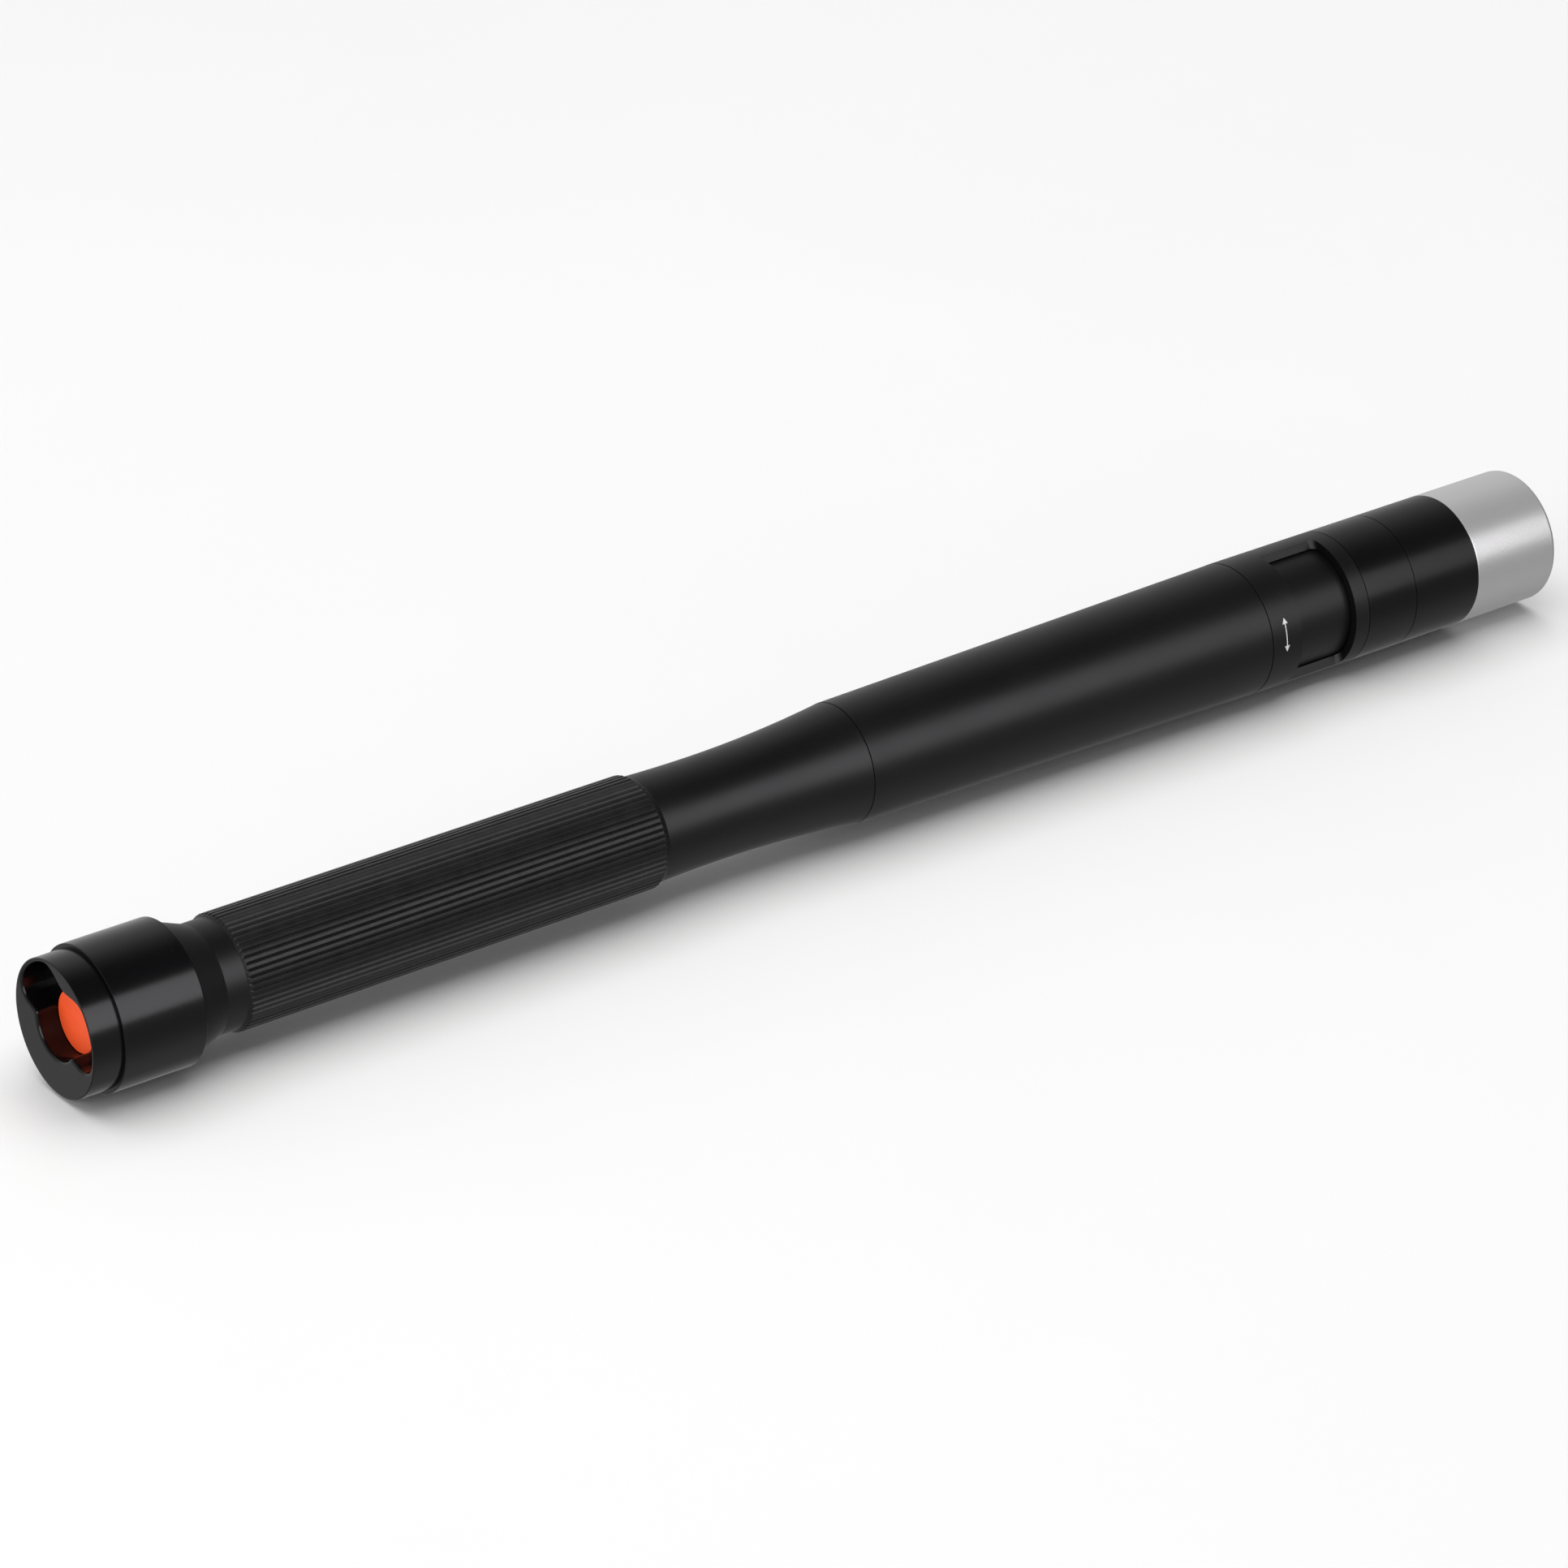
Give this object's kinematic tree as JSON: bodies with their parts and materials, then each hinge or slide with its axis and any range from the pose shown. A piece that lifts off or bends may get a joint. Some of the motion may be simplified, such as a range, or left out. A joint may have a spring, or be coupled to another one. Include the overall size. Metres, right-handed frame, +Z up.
{
  "type": "flashlight",
  "caption": "Long slim flashlight with a ribbed grip, waisted handle, tail push switch in a lobed opening, turning charging-port cover and silver bezel.",
  "frame": {"origin": "middle of the length, on the floor under the axis", "axes": "+X along the axis from the tail to the lamp, +Z up as it lies"},
  "size_m": [0.4082, 0.0326, 0.0326],
  "materials": {
    "black_anodised": "black anodised, satin",
    "silver_bezel": "silver, fine bead-blasted satin",
    "orange_button": "flat matte orange",
    "grip_rubber": "matte black, straight ribs",
    "seal_rubber": "plain black",
    "black_plastic": "moulded",
    "white_plastic": "moulded",
    "circuit_board": "solder mask",
    "lamp_board": "white mask on metal core",
    "brass": "bright",
    "steel": "plated",
    "heat_sink": "turned",
    "mirror_coat": "vapour-coated mirror",
    "cell_wrap": "shrink wrap on a steel can",
    "phosphor": "clear dome on phosphor",
    "clear_glass": "clear",
    "red_wire": "insulation",
    "black_wire": "insulation"
  },
  "bodies": {
    "torch_body": {"handle_tube": "black_anodised", "grip_sleeve": "grip_rubber", "tail_oring": "seal_rubber", "handle_oring": "seal_rubber", "cell_1": "cell_wrap", "cell_2": "cell_wrap", "cell_3": "cell_wrap", "barrel_tube": "black_anodised", "contact_spacer": "black_plastic", "contact_board": "circuit_board", "contact_spring": "brass", "port_body": "black_anodised", "ring_oring_rear": "seal_rubber", "ring_oring_front": "seal_rubber", "driver_board": "circuit_board", "board_cradle": "black_plastic", "usb_socket": "steel", "usb_tongue": "black_plastic", "charge_coil": "black_plastic", "driver_chip": "black_plastic", "positive_lead": "red_wire", "head_tube": "black_anodised", "head_oring": "seal_rubber", "heat_sink": "heat_sink", "led_board": "lamp_board", "led_emitter": "phosphor", "led_screw_1": "steel", "led_screw_2": "steel", "led_lead_positive": "red_wire", "led_lead_negative": "black_wire", "led_spacer": "white_plastic", "reflector": "mirror_coat", "lens": "clear_glass", "lens_gasket": "seal_rubber", "bezel": "silver_bezel", "bezel_oring": "seal_rubber"},
    "tail_cap": {"tail_cap": "black_anodised", "switch_holder": "black_plastic", "click_switch": "black_plastic", "switch_board": "circuit_board", "switch_retainer": "brass", "tail_spring": "brass"},
    "switch_button": {"switch_button": "orange_button", "switch_stem": "white_plastic"},
    "port_ring": {"port_ring": "black_anodised"}
  },
  "joints": [
    {"name": "cap_unscrew", "type": "slide", "parent": "torch_body", "child": "tail_cap", "axis": [-1, 0, 0], "range_m": [0, 0.03]},
    {"name": "button_press", "type": "slide", "parent": "tail_cap", "child": "switch_button", "axis": [1, 0, 0], "range_m": [0, 0.0015], "stiffness_N_per_m": 1500, "springref_m": -0.0006},
    {"name": "ring_turn", "type": "hinge", "parent": "torch_body", "child": "port_ring", "pos_m": [0.13, 0, 0.01632], "axis": [1, 0, 0], "continuous": true}
  ]
}
